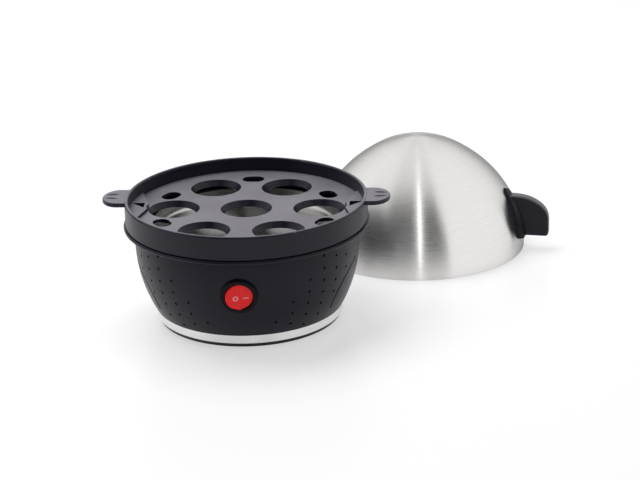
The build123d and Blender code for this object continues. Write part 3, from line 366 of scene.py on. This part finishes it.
looks = {
    "base_housing": charcoal,
    "trim_band": band_steel,
    "bottom_plate": black,
    "foot_ring": foot_rubber,
    "plate_screws": zinc,
    "heating_pan": pan_steel,
    "pan_seal": seal_silicone,
    "pan_nuts": zinc,
    "heat_spreader": aluminium,
    "heating_element": oxide_steel,
    "thermostat_cap": aluminium,
    "thermostat_blades": brass,
    "thermostat_body": ceramic,
    "thermostat_strap": zinc,
    "strap_screws": zinc,
    "earth_tag": brass,
    "earth_screw": zinc,
    "switch_blades": brass,
    "switch_body": switch_black,
    "switch_rocker": red,
    "cord_gland": black,
    "terminal_block": nylon,
    "terminal_screws": zinc,
    "lead_line": line_sleeve,
    "lead_switched": line_sleeve,
    "lead_thermostat": white_sleeve,
    "lead_fuse": white_sleeve,
    "thermal_fuse": zinc,
    "lead_neutral": neutral_sleeve,
    "lead_earth": earth_sleeve,
    "egg_tray": tray_charcoal,
    "lid_shell": lid_steel,
    "handle_pad": foot_rubber,
    "lid_handle": handle_black,
    "handle_backing": zinc,
    "handle_screws": zinc,
}
for name, obj in nodes.items():
    obj.data.materials.clear()
    obj.data.materials.append(looks[name])


# Switch mark: a thin print that follows the rocker's dished face, with or without a hole
def mark(name, centre, outline, hole=None):
    across = SWITCH_UP.cross(SWITCH_OUT)
    slope = radians(ROCKER_TILT)
    face_x = across * cos(slope) + SWITCH_OUT * sin(slope)
    face_out = SWITCH_OUT * cos(slope) - across * sin(slope)
    build = bmesh.new()

    def spot(point, height):
        x = centre[0] + point[0]
        y = centre[1] + point[1]
        rise = ROCKER_RISE - ROCKER_DISH * (1 - (x / ROCKER_R) ** 2)
        on_face = SWITCH_CENTRE + face_x * x + SWITCH_UP * y
        return build.verts.new(on_face + face_out * (rise + height))

    def strip(first, second):
        count = len(first)
        for i in range(count):
            j = (i + 1) % count
            build.faces.new((first[i], first[j], second[j], second[i]))

    loops = [outline, hole] if hole else [outline]
    heights = (MARK_LIFT, MARK_LIFT + MARK_THICKNESS)
    rings = [[[spot(point, height) for point in loop] for height in heights] for loop in loops]
    for low, high in rings:
        strip(low, high)
    for level in range(len(heights)):
        if hole:
            strip(rings[0][level], rings[1][level])
        else:
            build.faces.new(rings[0][level])
    bmesh.ops.recalc_face_normals(build, faces=build.faces)
    mesh = bpy.data.meshes.new(name)
    build.to_mesh(mesh)
    build.free()
    mesh.materials.append(print_pale)
    obj = bpy.data.objects.new(name, mesh)
    scene.collection.objects.link(obj)
    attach(obj, "rocker")


def circle(radius):
    angles = [2 * pi * i / RING_POINTS for i in range(RING_POINTS)]
    return [(radius * cos(a), radius * sin(a)) for a in angles]


print_pale = plastic("mark_print", (0.90, 0.30, 0.30), 0.45, grain=0.0, mottle=0.05)
bar_outline = [
    (-BAR_HALF_X, -BAR_HALF_Y),
    (BAR_HALF_X, -BAR_HALF_Y),
    (BAR_HALF_X, BAR_HALF_Y),
    (-BAR_HALF_X, BAR_HALF_Y),
]
mark("mark_off", RING_PLACE, circle(RING_OUTER_R), circle(RING_INNER_R))
mark("mark_on", BAR_PLACE, bar_outline)


# Rays that see the floor and the world straight, in a mirror or through glass
def seen_ray(tree):
    rays = add_node(tree, "ShaderNodeLightPath").outputs
    direct = maths(tree, "MAXIMUM", rays["Is Camera Ray"], rays["Is Glossy Ray"])
    return maths(tree, "MAXIMUM", direct, rays["Is Transmission Ray"])


def floor_material():
    material, tree, shader = new_material("floor_white")
    broad = noise(tree, place(tree), FLOOR_SCALE)
    tree.links.new(ramp(tree, broad, FLOOR_DARK, FLOOR_LIGHT), shader.inputs["Base Color"])
    shader.inputs["Roughness"].default_value = FLOOR_GLOSS
    shader.inputs["Specular IOR Level"].default_value = FLOOR_SPECULAR
    lift = add_node(tree, "ShaderNodeEmission").outputs["Emission"]
    share = maths(tree, "MULTIPLY", seen_ray(tree), FLOOR_LIFT)
    output = tree.nodes["Material Output"]
    mix_shaders(tree, share, shader.outputs["BSDF"], lift, output)
    return material


bpy.ops.mesh.primitive_plane_add(size=FLOOR_SIZE, location=(0.0, 0.0, cad_box[0][2]))
floor = bpy.context.object
floor.name = "floor"
floor.data.materials.append(floor_material())

world = bpy.data.worlds.new("studio")
scene.world = world
world.use_nodes = True
world_tree = world.node_tree
sky = world_tree.nodes["Background"]
sky.inputs["Color"].default_value = SKY_COLOUR
sky.inputs["Strength"].default_value = SKY_STRENGTH
seen = add_node(world_tree, "ShaderNodeBackground")
seen.inputs["Color"].default_value = SEEN_COLOUR
seen.inputs["Strength"].default_value = SEEN_STRENGTH
mix_shaders(
    world_tree,
    seen_ray(world_tree),
    sky.outputs["Background"],
    seen.outputs["Background"],
    world_tree.nodes["World Output"],
)


# Lamps: a broad one overhead, a panel behind, and a narrow strip in front for the lid's highlight
def softbox(name, centre, aim, width, height, power, mirrored):
    lamp = bpy.data.lights.new(name, "AREA")
    lamp.shape = "RECTANGLE"
    lamp.size = width
    lamp.size_y = height
    lamp.energy = power
    obj = bpy.data.objects.new(name, lamp)
    scene.collection.objects.link(obj)
    obj.visible_glossy = mirrored
    obj.location = centre
    obj.rotation_euler = (Vector(aim) - Vector(centre)).to_track_quat("-Z", "Y").to_euler()


softbox(
    "overhead",
    centre=(-0.4, 0.4, 1.6),
    aim=(0.05, 0.0, 0.0),
    width=1.5,
    height=1.0,
    power=30.0,
    mirrored=False,
)
softbox(
    "back_panel",
    centre=(-0.2, 2.0, 0.85),
    aim=(0.0, 0.0, 0.05),
    width=2.6,
    height=0.7,
    power=4.0,
    mirrored=False,
)
softbox(
    "front_strip",
    centre=(0.185, -1.6, 1.4),
    aim=(0.12, 0.13, 0.4),
    width=0.05,
    height=3.0,
    power=4.2,
    mirrored=True,
)

# Dark card that only mirrors see
bpy.ops.mesh.primitive_plane_add(size=1.0, location=CARD_CENTRE, rotation=(pi / 2, 0.0, 0.0))
card = bpy.context.object
card.name = "dark_card"
card.scale = (CARD_WIDTH, CARD_HEIGHT, 1.0)
card.visible_camera = False
card.visible_diffuse = False
card.visible_shadow = False
card.visible_transmission = False
card.data.materials.append(plastic("card_black", (0.02, 0.019, 0.02), 0.9, specular=0.0))

camera_data = bpy.data.cameras.new("camera")
camera_data.lens = CAMERA_LENS
camera_data.sensor_width = CAMERA_SENSOR
camera = bpy.data.objects.new("camera", camera_data)
scene.collection.objects.link(camera)
turned = Matrix.Rotation(radians(CAMERA_AZIMUTH), 4, "Z")
tipped = Matrix.Rotation(radians(90.0 - CAMERA_ELEVATION), 4, "X")
rolled = Matrix.Rotation(radians(CAMERA_ROLL), 4, "Z")
camera.matrix_world = Matrix.Translation(CAMERA_PLACE) @ turned @ tipped @ rolled
scene.camera = camera

scene.view_settings.view_transform = "Standard"
